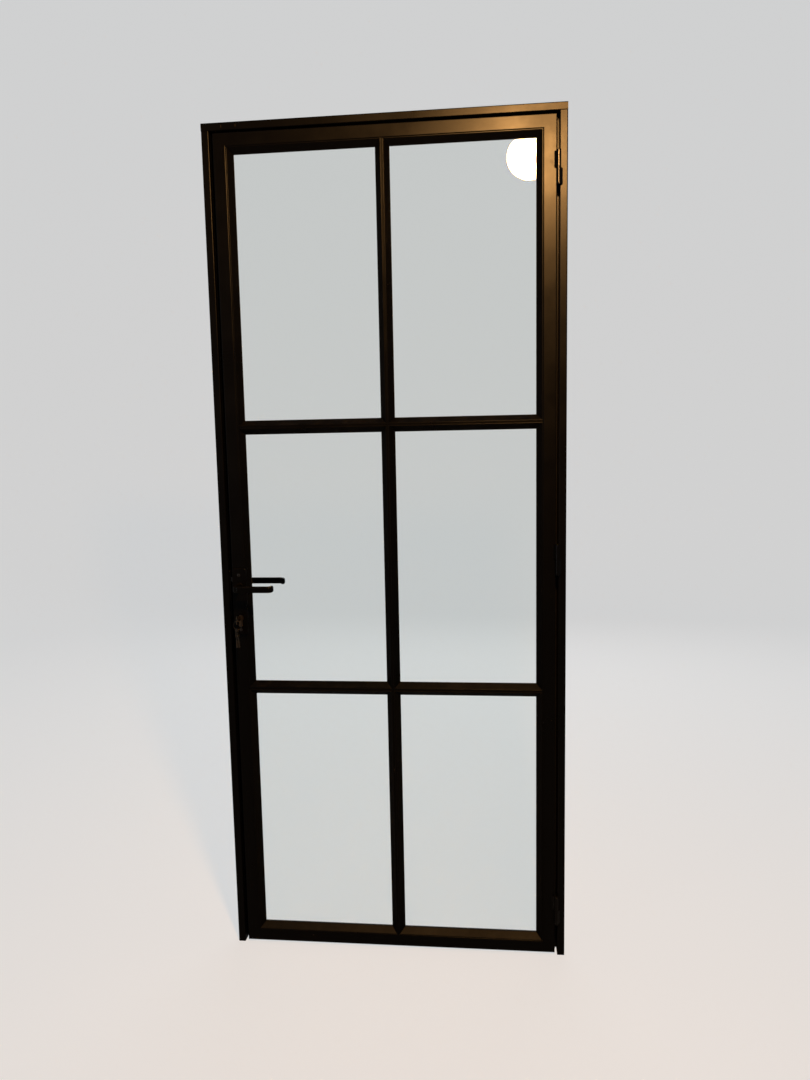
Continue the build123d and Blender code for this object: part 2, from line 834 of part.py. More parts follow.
def faceplate():
    """The plate let into the stile's edge, in front of the lock."""
    half = faceplate_width / 2
    plate = block(leaf_left, case_left, -half, half, faceplate_bottom, faceplate_top)
    for z, height in ((latch_z, latch_height), (bolt_z, bolt_height)):
        plate -= block(leaf_left - 1, case_left + 1, -slide_half(), slide_half(),
                       z - height / 2 - bolt_clearance, z + height / 2 + bolt_clearance)
    for z in faceplate_screw_heights():
        plate -= flush_screw_x(face_screw, face_screw_head, leaf_left, case_left, 0, z,
                               faceplate_thickness + 1)
    plate -= flush_screw_x(face_screw + 2 * screw_clearance, face_screw_head, leaf_left, case_left,
                           0, cylinder_screw_z, faceplate_thickness + 1)
    return plate


def faceplate_screw_heights():
    """Heights of the faceplate's end screws, in the middle of its tabs."""
    return (faceplate_top - lug_length / 2, faceplate_bottom + lug_length / 2)


def faceplate_screws():
    """The countersunk screws that hold the faceplate to its tabs."""
    length = faceplate_thickness + lug_thickness + screw_reach
    return [flush_screw_x(face_screw, face_screw_head, leaf_left, case_left, 0, z, length)
            for z in faceplate_screw_heights()]


def cylinder_screw():
    """The long screw from the faceplate into the cylinder's web."""
    length = backset + cylinder_web / 2 - cylinder_screw_cover
    return flush_screw_x(face_screw, face_screw_head, leaf_left, case_left, 0, cylinder_screw_z, length)


def latch_bolt():
    """The spring latch: a bevelled head, and a tail over the hub's arm that ends in a tooth."""
    half = slide_half() - bolt_clearance
    bottom = latch_top - latch_height
    tip = leaf_left - latch_throw
    outline = Polyline((tip, -half), (tip + latch_head, -half), (tip + latch_head, half),
                       (leaf_left - latch_point, half), (tip, latch_point - half), close=True)
    head_end = Pos(0, 0, bottom) * extrude(make_face(outline), latch_height)
    tooth_start = lock_x + arm_face + arm_gap
    tooth_end = tooth_start + latch_tooth
    tail = block(tip + latch_head, tooth_end, -half, half, latch_top - latch_tail_height, latch_top)
    tooth = block(tooth_start, tooth_end, -half, half, bottom, latch_top)
    return head_end + tail + tooth


def dead_bolt():
    """The square bolt that the key throws, drawn back in the case."""
    half = slide_half() - bolt_clearance
    bolt = block(leaf_left, leaf_left + bolt_length, -half, half,
                 bolt_z - bolt_height / 2, bolt_z + bolt_height / 2)
    return fillet(bolt.faces().sort_by(Axis.X)[0].edges(), edge_radius / 2)


def cylinder_body():
    """The profile cylinder's body, with two plug bores, the gap for the cam and a screw hole."""
    body = prism_y(cylinder_outline(), -cylinder_half, cylinder_half, lock_x, cylinder_z)
    body -= rod_y(plug_diameter + 2 * plug_clearance, -cylinder_half - 1, cylinder_half + 1,
                  lock_x, cylinder_z)
    half = cam_slot / 2
    body -= block(lock_x - cylinder_round, lock_x + cylinder_round, -half, half,
                  cylinder_z - cam_radius - cam_clearance, cylinder_z + cylinder_round)
    body -= rod_x(face_screw + 2 * thread_clearance, lock_x - cylinder_web, lock_x + cylinder_web / 2, 0,
                  cylinder_screw_z)
    return body


def keyway(y_low, y_high):
    """The slot of a plug, as wide as a key's blade and a little more."""
    half_width = key_thickness / 2 + key_clearance
    half_height = key_blade_height / 2 + key_clearance
    return block(lock_x - half_width, lock_x + half_width, y_low, y_high,
                 cylinder_z - half_height, cylinder_z + half_height)


def cylinder_plug():
    """The opening side's plug, which the key turns."""
    inner = -cam_width / 2
    plug = rod_y(plug_diameter, -cylinder_half, inner, lock_x, cylinder_z)
    return plug - keyway(-cylinder_half - 1, -cylinder_half + key_blade_length + keyway_run_out)


def cylinder_rear_plug():
    """The far side's plug, with its empty keyway."""
    plug = rod_y(plug_diameter, cam_width / 2 + plug_clearance, cylinder_half, lock_x, cylinder_z)
    return plug - keyway(cylinder_half - key_blade_length - keyway_run_out, cylinder_half + 1)


def cylinder_cam():
    """The ring between the plugs with the nose that moves the bolt."""
    half = cam_width / 2
    ring = rod_y(cam_ring, -half, half, lock_x, cylinder_z)
    nose_low = cylinder_z - cam_radius
    nose = block(lock_x - cam_nose / 2, lock_x + cam_nose / 2, -half, half, nose_low, cylinder_z)
    return fillet((ring + nose).faces().sort_by(Axis.Z)[0].edges().filter_by(Axis.Y), cam_nose / 3)


def key_at(shoulder_y, z):
    """A key that points away from the viewer, its blade upright: bow, shoulder and notched blade."""
    bow_middle = shoulder_y - key_shoulder - bow_length / 2
    upright = Plane((lock_x - key_thickness / 2, bow_middle, z), x_dir=(0, 1, 0), z_dir=(1, 0, 0))
    bow = extrude(upright * RectangleRounded(bow_length, bow_height, bow_corner), key_thickness)
    neck_plane = Plane((lock_x - key_thickness / 2, shoulder_y - key_shoulder / 2, z),
                       x_dir=(0, 1, 0), z_dir=(1, 0, 0))
    neck = extrude(neck_plane * Rectangle(key_shoulder, key_neck), key_thickness)
    low = z - key_blade_height / 2
    high = z + key_blade_height / 2
    half = key_thickness / 2
    blade = block(lock_x - half, lock_x + half, shoulder_y, shoulder_y + key_blade_length, low, high)
    pitch = (key_blade_length - bite_width) / (len(bite_depths) + 1)
    for n, depth in enumerate(bite_depths):
        y = shoulder_y + (n + 1) * pitch
        blade -= block(lock_x - key_thickness, lock_x + key_thickness,
                       y - bite_width / 2, y + bite_width / 2, high - depth, high + 1)
    for side in (lock_x - half, lock_x + half):
        blade -= block(side - key_groove_depth, side + key_groove_depth,
                       shoulder_y, shoulder_y + key_blade_length + 1,
                       z - key_groove_height / 2, z + key_groove_height / 2)
    hole_y = bow_middle - bow_length / 2 + bow_hole_inset
    return bow + neck + blade - rod_x(bow_hole, lock_x - key_thickness, lock_x + key_thickness, hole_y, z)


def key():
    """The key in the lock."""
    return key_at(-cylinder_half, cylinder_z)


def bow_hole_y():
    """Where the hole of the key in the lock lies."""
    return -cylinder_half - key_shoulder - bow_length + bow_hole_inset


def ring_top():
    """Height of the ring's wire where it hangs in the key's hole."""
    return cylinder_z - bow_hole / 2 + ring_wire / 2 + hang_gap


def key_ring():
    """The wire ring through both keys; it faces the viewer."""
    ring = Rot(90, 0, 0) * Torus(ring_radius, ring_wire / 2)
    return Pos(lock_x, bow_hole_y(), ring_top() - ring_radius) * ring


def spare_keys():
    """Two more keys, hanging side by side from the foot of the ring with their blades down."""
    hole_z = ring_top() - 2 * ring_radius - bow_hole / 2 + ring_wire / 2 + hang_gap
    loose = Pos(-lock_x, -bow_hole_y(), -cylinder_z) * key()
    return [Pos(lock_x + way * spare_key_offset, bow_hole_y(), hole_z) * Rot(0, -way * spare_key_splay, 0)
            * Rot(-90, 0, 0) * loose for way in (-1, 1)]


def save(name, solids):
    """Writes one sub-part, a solid or a group of them."""
    shape = solids if not isinstance(solids, list) else Compound(children=solids)
    export_step(shape, f"parts/{name}.step")


def main():
    os.makedirs("parts", exist_ok=True)
    members = leaf_members()
    parts = {
        "jamb_lock_side": lock_jamb(),
        "jamb_hinge_side": jamb(hinge_jamb_face + member_face / 2),
        "head": head(),
        "frame_stops": frame_stops(),
        "frame_seal": frame_seal(),
        "strike_plate": strike_plate(),
        "strike_screws": strike_screws(),
        "stile_lock_side": lock_stile(members["left"]),
        "stile_hinge_side": members["right"],
        "top_rail": members["top"],
        "bottom_rail": members["bottom"],
        "lock_lugs": lock_lugs(),
        "bead_studs": bead_studs(),
        "glazing_tape": glazing_tape(),
        "setting_blocks": setting_blocks(),
        "hinge_frame_knuckles": hinge_frame_knuckles(),
        "hinge_leaf_knuckles": hinge_leaf_knuckles(),
        "hinge_pins": hinge_pins(),
        "hinge_washers": hinge_washers(),
        "plate_inside": plate_inside(),
        "plate_outside": plate_outside(),
        "plate_screws": plate_screws(),
        "handle_bushes": handle_bushes(),
        "lever_inside": lever(),
        "lever_outside": to_rear(lever()),
        "spindle": spindle(),
        "grub_screws": grub_screws(),
        "follower": follower(),
        "lock_case": lock_case(),
        "lock_cover": lock_cover(),
        "faceplate": faceplate(),
        "faceplate_screws": faceplate_screws(),
        "latch_bolt": latch_bolt(),
        "dead_bolt": dead_bolt(),
        "cylinder_body": cylinder_body(),
        "cylinder_plug": cylinder_plug(),
        "cylinder_rear_plug": cylinder_rear_plug(),
        "cylinder_cam": cylinder_cam(),
        "cylinder_screw": cylinder_screw(),
        "key": key(),
        "key_ring": key_ring(),
        "spare_keys": spare_keys(),
    }
    parts.update(vertical_bars())
    parts.update(cross_bars())
    parts.update(panes())
    parts.update(beads())
    for name, solids in parts.items():
        save(name, solids)
    print(len(parts), "sub-parts; frame", overall_width, "x", overall_height)


main()
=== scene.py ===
# %% [markdown]
# A slim glass door in a black steel frame, shown on a pale studio floor.
#
# The steel, the glass, the lock and the keys arrive as exact solids, already in
# place and in metres. This lesson gives them their finishes, models the small
# things that a CAD model leaves plain, and sets up a studio and a camera.

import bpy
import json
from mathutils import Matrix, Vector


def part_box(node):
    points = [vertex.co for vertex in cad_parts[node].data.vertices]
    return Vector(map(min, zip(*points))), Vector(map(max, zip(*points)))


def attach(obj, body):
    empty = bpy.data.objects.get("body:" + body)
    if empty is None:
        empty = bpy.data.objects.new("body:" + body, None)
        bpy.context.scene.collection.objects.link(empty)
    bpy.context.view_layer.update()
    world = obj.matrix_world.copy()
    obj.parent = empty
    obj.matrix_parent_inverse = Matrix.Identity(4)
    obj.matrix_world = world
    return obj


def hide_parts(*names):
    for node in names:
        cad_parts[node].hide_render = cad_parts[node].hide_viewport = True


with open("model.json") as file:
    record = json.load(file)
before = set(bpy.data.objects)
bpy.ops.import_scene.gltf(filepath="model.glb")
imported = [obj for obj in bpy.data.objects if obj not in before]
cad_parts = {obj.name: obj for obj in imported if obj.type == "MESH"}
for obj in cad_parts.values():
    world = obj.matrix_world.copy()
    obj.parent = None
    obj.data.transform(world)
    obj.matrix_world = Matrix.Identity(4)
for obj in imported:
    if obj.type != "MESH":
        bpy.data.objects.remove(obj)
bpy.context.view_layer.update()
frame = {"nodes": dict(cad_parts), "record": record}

# %% Tools of the lesson
import json
from math import cos, pi, radians, sin

import bpy
from mathutils import Matrix, Vector

MM = 0.001


def deselect():
    """Nothing selected, so that the next operator acts on its own piece only."""
    if bpy.context.object and bpy.context.object.mode != "OBJECT":
        bpy.ops.object.mode_set(mode="OBJECT")
    bpy.ops.object.select_all(action="DESELECT")


def pick_faces(piece, test):
    """In edit mode, selects the faces whose centre and normal pass a test."""
    bpy.ops.object.mode_set(mode="EDIT")
    bpy.ops.mesh.select_mode(type="FACE")
    bpy.ops.mesh.select_all(action="DESELECT")
    bpy.ops.object.mode_set(mode="OBJECT")
    for face in piece.data.polygons:
        face.select = test(face.center, face.normal)
    bpy.ops.object.mode_set(mode="EDIT")


def looks_up(centre, normal):
    """True for a face that points up."""
    return normal.z > 0.9


def looks_down(centre, normal):
    """True for a face that points down."""
    return normal.z < -0.9


def settle(piece):
    """Back to object mode, with the piece's place and turn moved into its mesh."""
    bpy.ops.object.mode_set(mode="OBJECT")
    deselect()
    piece.select_set(True)
    bpy.context.view_layer.objects.active = piece
    bpy.ops.object.transform_apply(location=True, rotation=True, scale=True)


def round_edges(piece, width, angle):
    """A bevel on every edge sharper than an angle in degrees, applied."""
    deselect()
    piece.select_set(True)
    bpy.context.view_layer.objects.active = piece
    bevel = piece.modifiers.new("rounding", "BEVEL")
    bevel.width = width
    bevel.segments = 2
    bevel.limit_method = "ANGLE"
    bevel.angle_limit = radians(angle)
    bpy.ops.object.modifier_apply(modifier=bevel.name)


def cut_away(piece, cutter):
    """Takes the cutter's shape out of the piece, and the cutter out of the scene."""
    deselect()
    piece.select_set(True)
    bpy.context.view_layer.objects.active = piece
    taking = piece.modifiers.new("taking", "BOOLEAN")
    taking.operation = "DIFFERENCE"
    taking.solver = "EXACT"
    taking.object = cutter
    bpy.ops.object.modifier_apply(modifier=taking.name)
    bpy.data.objects.remove(cutter, do_unlink=True)


def copy_to(piece, name, place, turn=(0, 0, 0)):
    """A copy with its own mesh, turned about the origin and put in its place."""
    twin = piece.copy()
    twin.data = piece.data.copy()
    twin.name = name
    bpy.context.collection.objects.link(twin)
    twin.location = place
    twin.rotation_euler = turn
    settle(twin)
    return twin


def join(pieces, name):
    """Several pieces as one object."""
    deselect()
    for piece in pieces:
        piece.select_set(True)
    bpy.context.view_layer.objects.active = pieces[0]
    bpy.ops.object.join()
    pieces[0].name = name
    return pieces[0]


def dress(piece, material, body, angle=40):
    """Smooth shading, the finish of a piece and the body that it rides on."""
    deselect()
    piece.select_set(True)
    bpy.context.view_layer.objects.active = piece
    bpy.ops.object.shade_smooth_by_angle(angle=radians(angle))
    piece.data.materials.clear()
    piece.data.materials.append(material)
    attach(piece, body)
    return piece


deselect()
print("nothing is selected")

# %% [markdown]
# ## Finishes
#
# Real paint, steel and glass are never perfectly even. The unevenness that several
# of them share is made once, as a node group with named inputs, and each finish
# places it with values of its own. The first group is the skin of the surface: a
# soft cloudiness at the size of a hand, and a fine grain under it.

# %% A group for uneven surfaces
def new_group(name, inputs, outputs):
    """An empty node group with sockets; inputs are (name, kind, value)."""
    group = bpy.data.node_groups.new(name, "ShaderNodeTree")
    for title, kind, value in inputs:
        socket = group.interface.new_socket(title, in_out="INPUT", socket_type=kind)
        socket.default_value = value
    for title, kind in outputs:
        group.interface.new_socket(title, in_out="OUTPUT", socket_type=kind)
    return group, group.nodes.new("NodeGroupInput"), group.nodes.new("NodeGroupOutput")


def math_node(tree, operation, first, second, clamp=False):
    """A Math node; each side is a socket or a number."""
    node = tree.nodes.new("ShaderNodeMath")
    node.operation = operation
    node.use_clamp = clamp
    for socket, side in zip(node.inputs, (first, second)):
        if isinstance(side, (int, float)):
            socket.default_value = side
        else:
            tree.links.new(side, socket)
    return node.outputs[0]


def noise_node(tree, scale, detail, roughness):
    """Noise on Object coordinates; scale is in blobs per metre, a number or a socket."""
    place = tree.nodes.new("ShaderNodeTexCoord")
    noise = tree.nodes.new("ShaderNodeTexNoise")
    tree.links.new(place.outputs["Object"], noise.inputs["Vector"])
    noise.inputs["Detail"].default_value = detail
    noise.inputs["Roughness"].default_value = roughness
    if isinstance(scale, (int, float)):
        noise.inputs["Scale"].default_value = scale
    else:
        tree.links.new(scale, noise.inputs["Scale"])
    return noise.outputs["Fac"]


def between(tree, value, low, high, to_low=0.0, to_high=1.0):
    """A Map Range node that is held at its ends."""
    node = tree.nodes.new("ShaderNodeMapRange")
    node.interpolation_type = "SMOOTHSTEP"
    tree.links.new(value, node.inputs["Value"])
    ends = {"From Min": low, "From Max": high, "To Min": to_low, "To Max": to_high}
    for title, end in ends.items():
        node.inputs[title].default_value = end
    return node.outputs["Result"]


def uneven_group():
    """Roughness that clouds over, and a fine grain for a bump."""
    group, given, made = new_group(
        "uneven_skin",
        [("Base roughness", "NodeSocketFloat", 0.4), ("Cloud amount", "NodeSocketFloat", 0.1),
         ("Cloud scale", "NodeSocketFloat", 6.0), ("Grain scale", "NodeSocketFloat", 900.0)],
        [("Roughness", "NodeSocketFloat"), ("Grain", "NodeSocketFloat"),
         ("Cloud", "NodeSocketFloat")])
    blobs = noise_node(group, given.outputs["Cloud scale"], detail=5.0, roughness=0.6)
    cloud = between(group, blobs, low=0.3, high=0.7)
    centred = math_node(group, "SUBTRACT", cloud, 0.5)
    spread = math_node(group, "MULTIPLY", centred, given.outputs["Cloud amount"])
    rough = math_node(group, "ADD", given.outputs["Base roughness"], spread, clamp=True)
    grain = noise_node(group, given.outputs["Grain scale"], detail=2.0, roughness=0.5)
    group.links.new(rough, made.inputs["Roughness"])
    group.links.new(grain, made.inputs["Grain"])
    group.links.new(cloud, made.inputs["Cloud"])
    return group


uneven = uneven_group()
print("group:", uneven.name, "with", len(uneven.nodes), "nodes")

# %% [markdown]
# Dust settles on what faces up: the lower beads, the tops of the bars and of the
# handles. The second group finds those faces by their normal and breaks the layer
# up with noise, so that it lies thicker in some places than in others.

# %% A group for dust
def dust_group():
    """A mask for dust on faces that look up, with a thin trace everywhere."""
    group, given, made = new_group(
        "settled_dust",
        [("Amount", "NodeSocketFloat", 0.3), ("Trace", "NodeSocketFloat", 0.02),
         ("Scale", "NodeSocketFloat", 40.0)],
        [("Mask", "NodeSocketFloat")])
    geometry = group.nodes.new("ShaderNodeNewGeometry")
    split = group.nodes.new("ShaderNodeSeparateXYZ")
    group.links.new(geometry.outputs["Normal"], split.inputs["Vector"])
    upward = between(group, split.outputs["Z"], low=0.35, high=0.95)
    patches = noise_node(group, given.outputs["Scale"], detail=6.0, roughness=0.65)
    broken = between(group, patches, low=0.38, high=0.72)
    lying = math_node(group, "MULTIPLY", upward, broken)
    thick = math_node(group, "MULTIPLY", lying, given.outputs["Amount"])
    thin = math_node(group, "MULTIPLY", broken, given.outputs["Trace"])
    group.links.new(math_node(group, "ADD", thick, thin, clamp=True), made.inputs["Mask"])
    return group


dust = dust_group()
print("group:", dust.name, "with", len(dust.nodes), "nodes")

# %% [markdown]
# A mark is a place where something once touched the paint: a tick from a tool, a
# speck of plaster, a rubbed patch; the same group also places a painted glint, a
# small pale highlight put into the colour. The third group measures how far a point is
# from the mark's centre, in units of the mark's own size, and roughens the rim.

# %% A group for single marks
def mark_group():
    """A mask for one mark: a ragged blob of a given centre and half size."""
    group, given, made = new_group(
        "single_mark",
        [("Centre", "NodeSocketVector", (0, 0, 0)),
         ("Half size", "NodeSocketVector", (0.01, 0.01, 0.01)),
         ("Ragged", "NodeSocketFloat", 0.5), ("Scale", "NodeSocketFloat", 500.0)],
        [("Mask", "NodeSocketFloat")])
    place = group.nodes.new("ShaderNodeTexCoord")
    away = group.nodes.new("ShaderNodeVectorMath")
    away.operation = "SUBTRACT"
    group.links.new(place.outputs["Object"], away.inputs[0])
    group.links.new(given.outputs["Centre"], away.inputs[1])
    shrink = group.nodes.new("ShaderNodeVectorMath")
    shrink.operation = "DIVIDE"
    group.links.new(away.outputs["Vector"], shrink.inputs[0])
    group.links.new(given.outputs["Half size"], shrink.inputs[1])
    length = group.nodes.new("ShaderNodeVectorMath")
    length.operation = "LENGTH"
    group.links.new(shrink.outputs["Vector"], length.inputs[0])
    noise = noise_node(group, given.outputs["Scale"], detail=4.0, roughness=0.6)
    wander = math_node(group, "SUBTRACT", noise, 0.5)
    rim = math_node(group, "MULTIPLY", wander, given.outputs["Ragged"])
    # the noise keeps within half a unit of its middle, so the rim's wander is doubled
    reach = math_node(group, "ADD", length.outputs["Value"], math_node(group, "MULTIPLY", rim, 2.0))
    mask = between(group, reach, low=0.75, high=1.05, to_low=1.0, to_high=0.0)
    group.links.new(mask, made.inputs["Mask"])
    return group


single_mark = mark_group()
print("group:", single_mark.name, "with", len(single_mark.nodes), "nodes")

# %% [markdown]
# ## Black powder coat
#
# The steel was blasted, dusted with powder and baked. That gives a deep satin
# black with a faint pebbled skin. It is nearly black all over, so what the eye
# sees is its gloss, and the roughness matters more than the colour. The beads at
# shoe height are duller, and the handles and the turned hinges are smoother.

# %% Black powder coat
# a Mix node has sockets of one name for numbers, vectors and colours, told apart by place
COLOUR_A, COLOUR_B, COLOUR_OUT = 6, 7, 2


def start_material(name):
    """A new material, its node tree and its shader."""
    material = bpy.data.materials.new(name)
    material.use_nodes = True
    tree = material.node_tree
    return material, tree, tree.nodes["Principled BSDF"]


def place_group(tree, group, **values):
    """A group placed in a material, its inputs set by name."""
    node = tree.nodes.new("ShaderNodeGroup")
    node.node_tree = group
    for title, value in values.items():
        node.inputs[title.replace("_", " ")].default_value = value
    return node


def mix_colour(tree, mask, first, second):
    """A Mix node for two colours, the first where the mask is nought."""
    node = tree.nodes.new("ShaderNodeMix")
    node.data_type = "RGBA"
    tree.links.new(mask, node.inputs["Factor"])
    node.inputs[COLOUR_A].default_value = (*first, 1.0)
    node.inputs[COLOUR_B].default_value = (*second, 1.0)
    return node.outputs[COLOUR_OUT]


def bump(tree, shader, height, strength, distance):
    """A bump that feeds the shader's normal."""
    node = tree.nodes.new("ShaderNodeBump")
    node.inputs["Strength"].default_value = strength
    node.inputs["Distance"].default_value = distance
    tree.links.new(height, node.inputs["Height"])
    tree.links.new(node.outputs["Normal"], shader.inputs["Normal"])


COAT_BLACK = (0.0016, 0.0014, 0.0012)
COAT_GLOSS = 0.18
COAT_ROUGHNESS = 0.31
# pale of settled dust, and also the colour of the painted glint on the upright bar
DUST_AND_GLINT_PALE = (0.22, 0.18, 0.135)
DUST_DULLS = 0.35


def coat_material(name, colour, roughness, marks=(), gloss=COAT_GLOSS):
    """Satin powder coat with dust on top and any single marks, a painted glint among them."""
    material, tree, shader = start_material(name)
    skin = place_group(tree, uneven, Base_roughness=roughness, Cloud_amount=0.09,
                       Cloud_scale=7.0, Grain_scale=1100.0)
    layer = place_group(tree, dust, Amount=0.03, Trace=0.001, Scale=38.0)
    mask = layer.outputs["Mask"]
    for centre, half, strength in marks:
        mark = place_group(tree, single_mark, Centre=[c * MM for c in centre],
                           Half_size=[h * MM for h in half])
        pale = math_node(tree, "MULTIPLY", mark.outputs["Mask"], strength)
        mask = math_node(tree, "MAXIMUM", mask, pale)
    tree.links.new(mix_colour(tree, mask, colour, DUST_AND_GLINT_PALE), shader.inputs["Base Color"])
    duller = math_node(tree, "MULTIPLY", mask, DUST_DULLS)
    dull = math_node(tree, "ADD", skin.outputs["Roughness"], duller, clamp=True)
    tree.links.new(dull, shader.inputs["Roughness"])
    bump(tree, shader, skin.outputs["Grain"], strength=0.10, distance=0.4 * MM)
    shader.inputs["Specular IOR Level"].default_value = gloss
    return material


black_coat = coat_material("black_coat", COAT_BLACK, COAT_ROUGHNESS)
low_coat = coat_material("black_coat_low", COAT_BLACK, roughness=0.52)
hinge_coat = coat_material("black_coat_hinge", COAT_BLACK, roughness=0.19, gloss=0.30)
handle_black = coat_material("handle_black", (0.0018, 0.0015, 0.0013), roughness=0.28)
print("coats:", black_coat.name, low_coat.name, hinge_coat.name, handle_black.name)

# %% [markdown]
# Four pieces of the steel carry marks: the head has two ticks, left by a tool when
# the frame was fitted, the bottom rail a speck of plaster, the upright bar a small
# pale dot that is a painted glint, and the stile two rubbed patches near the top hinge.
# Each mark is placed by its centre and half size in millimetres and by how much of
# the paint it hides, and the finish of such a solid is the coat with its own marks.

# %% Coat with single marks
HEAD_MARKS = [((-413.0, -15.0, 2247.0), (0.9, 3.0, 4.2), 0.16),
              ((-375.0, -15.0, 2247.5), (0.8, 3.0, 3.8), 0.16)]
RAIL_MARKS = [((-245.0, -15.0, 28.0), (2.6, 3.0, 1.4), 0.22)]
# the pale dot on the upright bar is a painted glint: a highlight put into the paint's colour
BAR_PAINTED_GLINT = [((-0.9, -15.0, 530.0), (1.4, 3.0, 1.9), 1.0)]
STILE_MARKS = [((427.0, -15.0, 2118.0), (2.2, 3.0, 4.6), 0.15),
               ((425.0, -15.0, 2203.0), (3.0, 3.0, 1.2), 0.15)]
head_coat = coat_material("black_coat_head", COAT_BLACK, COAT_ROUGHNESS, HEAD_MARKS)
rail_coat = coat_material("black_coat_rail", COAT_BLACK, COAT_ROUGHNESS, RAIL_MARKS)
bar_coat_painted_glint = coat_material("black_coat_bar", COAT_BLACK, COAT_ROUGHNESS, BAR_PAINTED_GLINT)
stile_coat = coat_material("black_coat_stile", COAT_BLACK, COAT_ROUGHNESS, STILE_MARKS)
print("marked coats:", head_coat.name, rail_coat.name, bar_coat_painted_glint.name, stile_coat.name)

# %% [markdown]
# ## Bare metal, brass, rubber and plastic
#
# The lock's case and faceplate, the latch, the bolt and the pins are bare steel,
# given a darker colour than clean steel as painted shade of the gap they sit in,
# and the screws in black pieces are a darker steel. The cylinder is dull brass,
# darkened further as painted shade, and the keys are polished by use. Rubber and
# plastic are dark and quiet. All of them are the same recipe with other values, so
# one function makes them all.

# %% Metals and soft materials
METAL, NO_METAL = 1.0, 0.0
SOFT_BLACK = (0.009, 0.009, 0.009)


def plain_material(name, colour, second, roughness, metallic):
    """A finish that drifts between two colours, with a fine grain."""
    material, tree, shader = start_material(name)
    skin = place_group(tree, uneven, Base_roughness=roughness, Cloud_amount=0.1,
                       Cloud_scale=60.0, Grain_scale=600.0)
    drift = mix_colour(tree, skin.outputs["Cloud"], colour, second)
    tree.links.new(drift, shader.inputs["Base Color"])
    tree.links.new(skin.outputs["Roughness"], shader.inputs["Roughness"])
    shader.inputs["Metallic"].default_value = metallic
    bump(tree, shader, skin.outputs["Grain"], strength=0.15, distance=0.1 * MM)
    return material


# bare steel kept dark: its colour holds painted shade of the gap between leaf and frame
bare_steel = plain_material("bare_steel", (0.40, 0.40, 0.405), (0.31, 0.305, 0.30), 0.34, METAL)
# the cylinder's brass is dull in itself and darkened further as painted shade
dull_brass = plain_material("dull_brass", (0.24, 0.17, 0.11), (0.09, 0.065, 0.045), 0.34, METAL)
key_metal = plain_material("key_metal", (0.38, 0.305, 0.23), (0.12, 0.095, 0.072), 0.18, METAL)
dark_steel = plain_material("dark_steel", (0.15, 0.135, 0.12), (0.07, 0.06, 0.055), 0.30, METAL)
black_rubber = plain_material("black_rubber", SOFT_BLACK, (0.015, 0.0145, 0.014), 0.7, NO_METAL)
black_plastic = plain_material("black_plastic", SOFT_BLACK, (0.014, 0.0135, 0.013), 0.45, NO_METAL)
print("materials:", len(bpy.data.materials))

# %% [markdown]
# ## Clear glass
#
# The panes are 6 mm float glass: clear, with a trace of green that shows at the
# edges. A real pane on a building site has faint smears. They are put in the
# roughness, where they only blur what is seen through them a little.

# %% Clear glass
GLASS_TINT = (0.955, 0.985, 0.972)
GLASS_IOR = 1.5
SMEAR_ROUGHNESS = 0.05


def glass_material():
    """Clear float glass with faint smears."""
    material, tree, shader = start_material("clear_glass")
    shader.inputs["Base Color"].default_value = (*GLASS_TINT, 1.0)
    shader.inputs["Transmission Weight"].default_value = 1.0
    shader.inputs["IOR"].default_value = GLASS_IOR
    streaks = noise_node(tree, scale=5.0, detail=6.0, roughness=0.7)
    smear = between(tree, streaks, low=0.60, high=0.80, to_high=SMEAR_ROUGHNESS)
    tree.links.new(smear, shader.inputs["Roughness"])
    return material


clear_glass = glass_material()
print("material:", clear_glass.name)

# %% [markdown]
# ## Finishes onto the solids
#
# Each solid names a material slot in its record. A small table says which finish
# each slot takes here, and which few solids differ from their slot.

# %% Finishes onto the solids
SLOT_FINISH = {
    "black_coat": black_coat,
    "clear_glass": clear_glass,
    "bare_steel": bare_steel,
    "brass": dull_brass,
    "black_rubber": black_rubber,
    "black_plastic": black_plastic,
}
OWN_FINISH = {
    "lever_inside": handle_black,
    "lever_outside": handle_black,
    "plate_inside": handle_black,
    "plate_outside": handle_black,
    "key_ring": dark_steel,
    "beads_lower_left": low_coat,
    "beads_lower_right": low_coat,
    "hinge_frame_knuckles": hinge_coat,
    "hinge_leaf_knuckles": hinge_coat,
    "hinge_washers": hinge_coat,
    "head": head_coat,
    "bottom_rail": rail_coat,
    "vertical_bar": bar_coat_painted_glint,
    "stile_hinge_side": stile_coat,
}
for entry in frame["record"]["subparts"]:
    solid = frame["nodes"][entry["node"]]
    finish = OWN_FINISH.get(entry["node"], SLOT_FINISH[entry["material_slot"]])
    solid.data.materials.clear()
    solid.data.materials.append(finish)

# %% [markdown]
# ## Screws
#
# The screws are countersunk and sit flush. The solids have plain cones, and a real
# head has a cross that the driver bites in, which is what catches the light. One
# screw is modelled pointing down: a short cylinder whose lower rim is drawn in to
# the shank and pulled out to its length. Two tapered bars, one across the other,
# are taken out of its head. Then it is copied, turned and moved to each place.

# %% A countersunk screw
SCREW_HEAD = 9.0 * MM
SCREW_SHANK = 5.0 * MM
SCREW_SINK = (SCREW_HEAD - SCREW_SHANK) / 2
CROSS_WIDTH = 1.1 * MM
CROSS_LENGTH = 5.2 * MM
CROSS_DEPTH = 1.7 * MM
CROSS_TAPER = (0.7, 0.45, 1.0)
SCREW_EDGE = 0.12 * MM
SCREW_END_PLAY = 0.05 * MM
# which way the heads look: the turn of a screw that points down, then axis and side
TO_VIEWER = ((pi / 2, 0, 0), 1, -1)
TO_LOCK_SIDE = ((0, -pi / 2, 0), 0, -1)
TO_HINGE_SIDE = ((0, pi / 2, 0), 0, 1)


